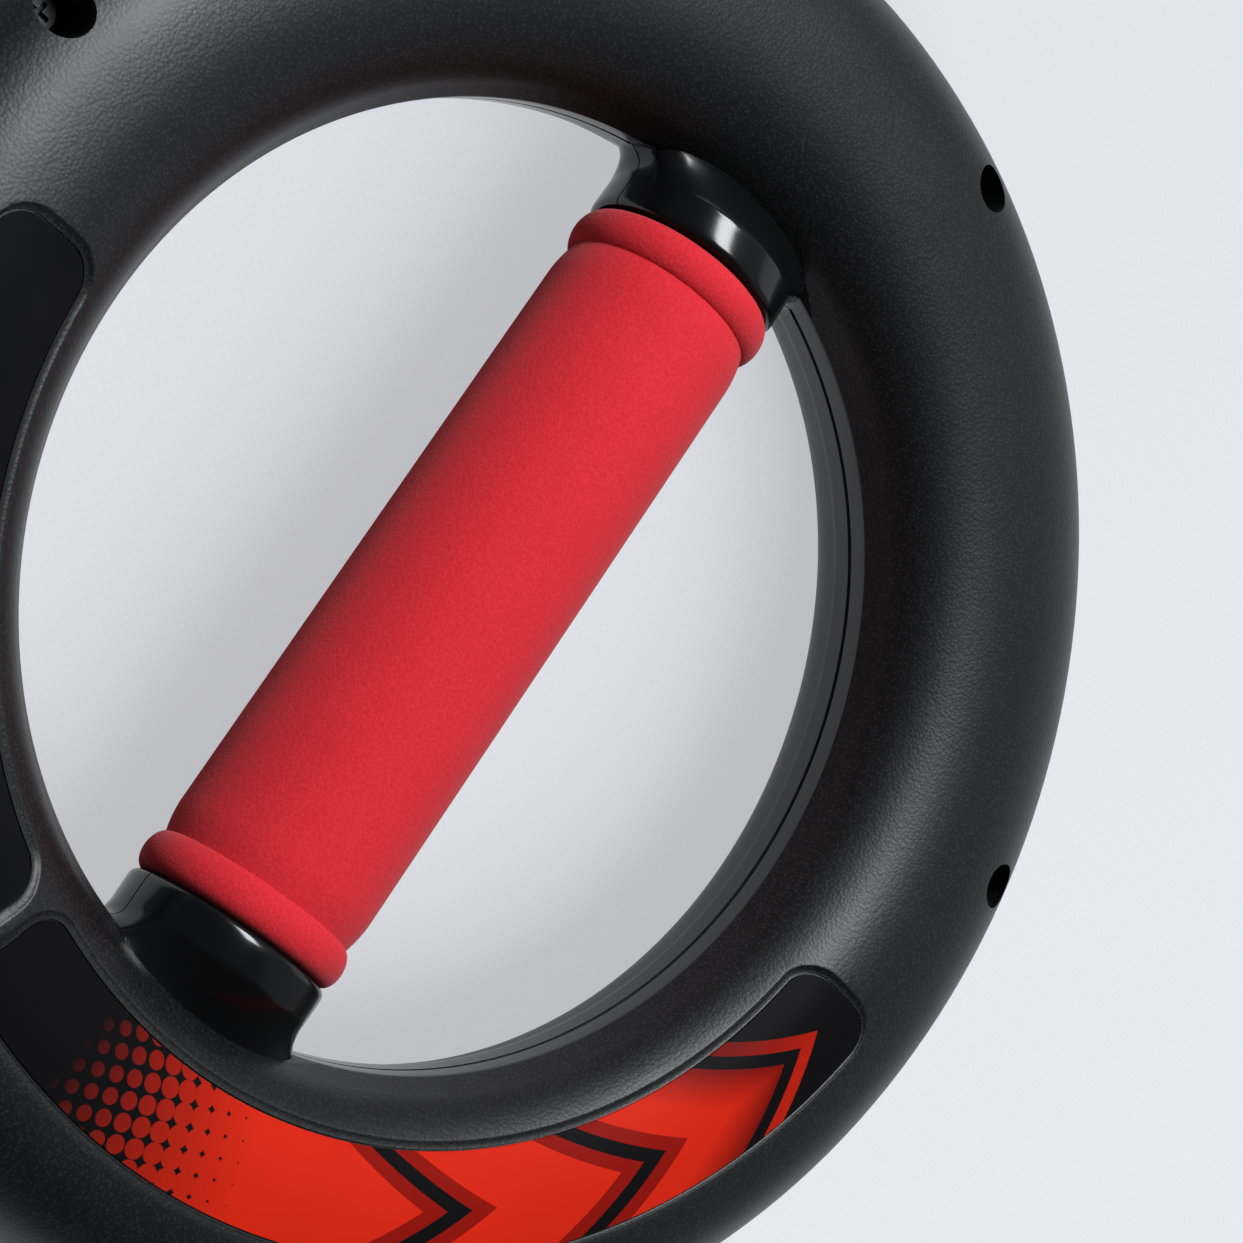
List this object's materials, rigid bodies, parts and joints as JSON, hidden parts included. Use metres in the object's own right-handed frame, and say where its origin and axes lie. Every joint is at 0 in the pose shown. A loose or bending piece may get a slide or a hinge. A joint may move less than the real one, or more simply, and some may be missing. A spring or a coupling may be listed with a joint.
{
  "type": "ring arm trainer",
  "caption": "Hollow black plastic ring with a red foam handle across its hole; a steel ball rolls round inside when the ring is swirled to train the arms.",
  "frame": {"origin": "on the ring's axis, at the flat of the back that it rests on", "axes": "+Z along the ring's axis, out of its front face; +X along the handle"},
  "size_m": [0.25, 0.25, 0.0406],
  "materials": {
    "shell_plastic": "fine spark texture, polished on the collars and the inner band",
    "black_label": "satin print",
    "red_label": "satin print",
    "red_foam": "matt closed-cell foam",
    "tube_steel": "plain drawn",
    "plug_plastic": "as moulded",
    "screw_steel": "black",
    "ball_steel": "polished"
  },
  "bodies": {
    "ring": {"front_shell": "shell_plastic", "back_shell": "shell_plastic", "label_left": "black_label", "label_lower": "red_label", "foam_grip": "red_foam", "handle_tube": "tube_steel", "handle_plug_upper": "plug_plastic", "handle_plug_lower": "plug_plastic", "case_screw_1": "screw_steel", "case_screw_2": "screw_steel", "case_screw_3": "screw_steel", "case_screw_4": "screw_steel", "case_screw_5": "screw_steel", "case_screw_6": "screw_steel"},
    "ball": {"rolling_ball": "ball_steel"}
  },
  "joints": [
    {"name": "ball_orbit", "type": "hinge", "parent": "ring", "child": "ball", "pos_m": [0, 0, 0.0201], "axis": [0, 0, 1], "continuous": true}
  ]
}
